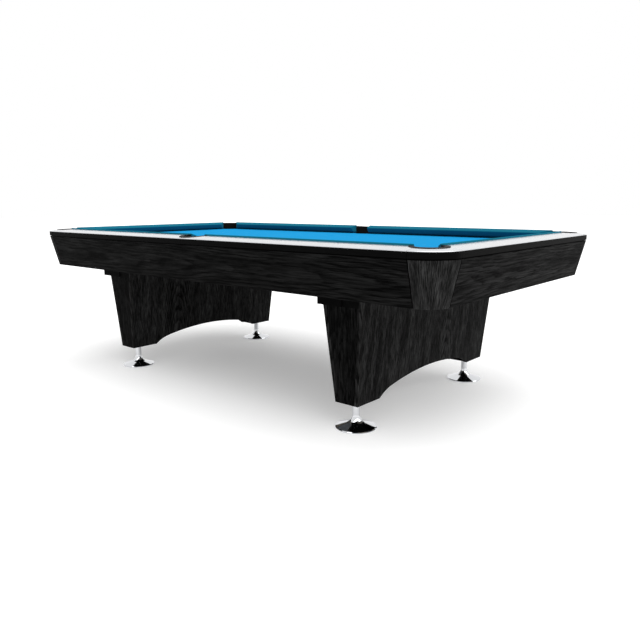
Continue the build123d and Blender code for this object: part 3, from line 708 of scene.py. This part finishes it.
def foot_profile(top, rim_radius):
    """The outline of a foot and its stud as (radius, height), and which of its points are
    sharp edges, from the recess over the pad round to the tip of the stud."""
    reach, drop = FLARE_FOOT[0] - TUBE_RADIUS, FLARE_TOP - FLARE_FOOT[1]
    radius = (reach**2 + drop**2) / (2 * reach)
    sweep = math.asin(drop / radius)
    flare = arc_points((TUBE_RADIUS + radius, FLARE_TOP), radius, math.pi + sweep, math.pi, 12)
    disc = [
        (RECESS_RADII[0], RECESS_TOP),
        (RECESS_RADII[1], RECESS_TOP),
        (RECESS_RADII[1], RIM_BOTTOM),
        (rim_radius, RIM_BOTTOM),
        (rim_radius, RIM_TOP),
        (rim_radius - RIM_BEVEL[0], RIM_TOP + RIM_BEVEL[1]),
    ]
    stud = [
        (TUBE_RADIUS, TUBE_TOP),
        (STUD_RADIUS, TUBE_TOP),
        (STUD_RADIUS, top - STUD_TIP[1]),
        (STUD_TIP[0], top),
    ]
    profile = disc + flare + stud
    sharp = set(range(len(disc) + 1)) | set(range(len(disc + flare), len(profile)))
    return profile, sharp


def chrome_foot(name, material):
    """A turned chrome foot, smoother than its CAD node, in the node's place."""
    low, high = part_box(name)
    x, y, _ = box_middle(name)
    profile, sharp = foot_profile(high.z, (high.x - low.x) / 2)
    bm = bmesh.new()
    rings = turned_rings(bm, (x, y), profile, 96)
    for index in sharp:
        for a, b in zip(rings[index], rings[index][1:] + rings[index][:1]):
            bm.edges.get((a, b)).smooth = False
    bm.faces.new(rings[-1])
    bmesh.ops.recalc_face_normals(bm, faces=bm.faces)
    return mesh_object(bm, f"chrome_{name}", material)


def add_feet():
    """The four chrome feet, each riding on its own body."""
    chrome = metal("polished_chrome", (0.68, 0.69, 0.71, 1), 0.05, 14.0)
    for end in ENDS:
        for side in SIDES:
            name = f"foot_{end}_{side}"
            foot = chrome_foot(name, chrome)
            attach(foot, name)
            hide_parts(name)


# ---------------------------------------------------------------- cloths in place


def add_cloths():
    """The sheets of cloth on the bed and the cushions."""
    bed_blue = blue_cloth("blue_bed_cloth", (0.004, 0.22, 0.48, 1), (0.008, 0.30, 0.62, 1))
    # The cushions' cloth is a darker, more teal copy of the bed's blue cloth: painted shade, for
    # the shade that lies on the cushions' faces and tops.
    rail_blue_painted_shade = blue_cloth("painted_shade_rail_cloth", (0.004, 0.11, 0.17, 1), (0.010, 0.15, 0.22, 1))
    bed = bed_cloth(bed_blue)
    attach(bed, CABINET)
    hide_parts("bed_cloth")
    section = cushion_section()
    for name in ("head", "foot", "left_head", "left_foot", "right_head", "right_foot"):
        cloth = cushion_cloth(name, rail_blue_painted_shade)
        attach(cloth, CABINET)
        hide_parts("rail_cloths")
        ((low_tip, _), (high_tip, _)), _ = rail_ends(name)


# ---------------------------------------------------------------- floor, light and camera


def add_floor():
    """A plain pale floor, far larger than the table."""
    bm = bmesh.new()
    corners = ((-1, -1), (1, -1), (1, 1), (-1, 1))
    bm.faces.new([bm.verts.new((x * FLOOR_HALF, y * FLOOR_HALF, 0)) for x, y in corners])
    s = Shader("pale_floor")
    s.set(Base_Color=grey(0.82), Roughness=0.9, Specular_IOR_Level=0.1)
    s.set(Emission_Color=grey(1.0), Emission_Strength=FLOOR_GLOW)
    mesh_object(bm, "floor", s.material, smooth=False)


def add_light():
    """A very wide soft light from overhead in a white surround, which is dimmer as a light
    than it looks."""
    world = bpy.data.worlds.new("white_surround")
    world.use_nodes = True
    tree = world.node_tree
    background = tree.nodes["Background"]
    background.inputs["Color"].default_value = (1, 1, 1, 1)
    rays = tree.nodes.new("ShaderNodeLightPath")
    strength = tree.nodes.new("ShaderNodeMapRange")
    strength.inputs["To Min"].default_value = 1.0
    strength.inputs["To Max"].default_value = SURROUND_LIGHT
    tree.links.new(rays.outputs["Is Diffuse Ray"], strength.inputs["Value"])
    tree.links.new(strength.outputs["Result"], background.inputs["Strength"])
    bpy.context.scene.world = world
    data = bpy.data.lights.new("overhead", "SUN")
    data.energy = OVERHEAD_STRENGTH
    data.angle = OVERHEAD_SPREAD
    light = bpy.data.objects.new("overhead", data)
    light.rotation_euler = OVERHEAD_TILT
    bpy.context.scene.collection.objects.link(light)


def add_camera():
    """A camera a little above the rails, off the foot end's right corner."""
    data = bpy.data.cameras.new("camera")
    data.sensor_width = 36.0
    data.lens = CAMERA_LENS
    data.shift_x, data.shift_y = CAMERA_SHIFT
    data.clip_end = 200.0
    camera = bpy.data.objects.new("camera", data)
    forward = Vector((
        math.cos(CAMERA_YAW) * math.cos(CAMERA_PITCH),
        math.sin(CAMERA_YAW) * math.cos(CAMERA_PITCH),
        -math.sin(CAMERA_PITCH),
    ))
    right = Vector((math.sin(CAMERA_YAW), -math.cos(CAMERA_YAW), 0))
    up = right.cross(forward)
    tilted_right = math.cos(CAMERA_ROLL) * right + math.sin(CAMERA_ROLL) * up
    tilted_up = -math.sin(CAMERA_ROLL) * right + math.cos(CAMERA_ROLL) * up
    turn = Matrix((tilted_right, tilted_up, -forward)).transposed()
    camera.matrix_world = Matrix.Translation(CAMERA_PLACE) @ turn.to_4x4()
    bpy.context.scene.collection.objects.link(camera)
    bpy.context.scene.camera = camera


bpy.context.scene.view_settings.view_transform = "Standard"
add_camera()
add_floor()
add_light()
dress_cad_nodes()
dress_aprons()
dress_posts()
dress_pedestals()
add_cloths()
add_feet()
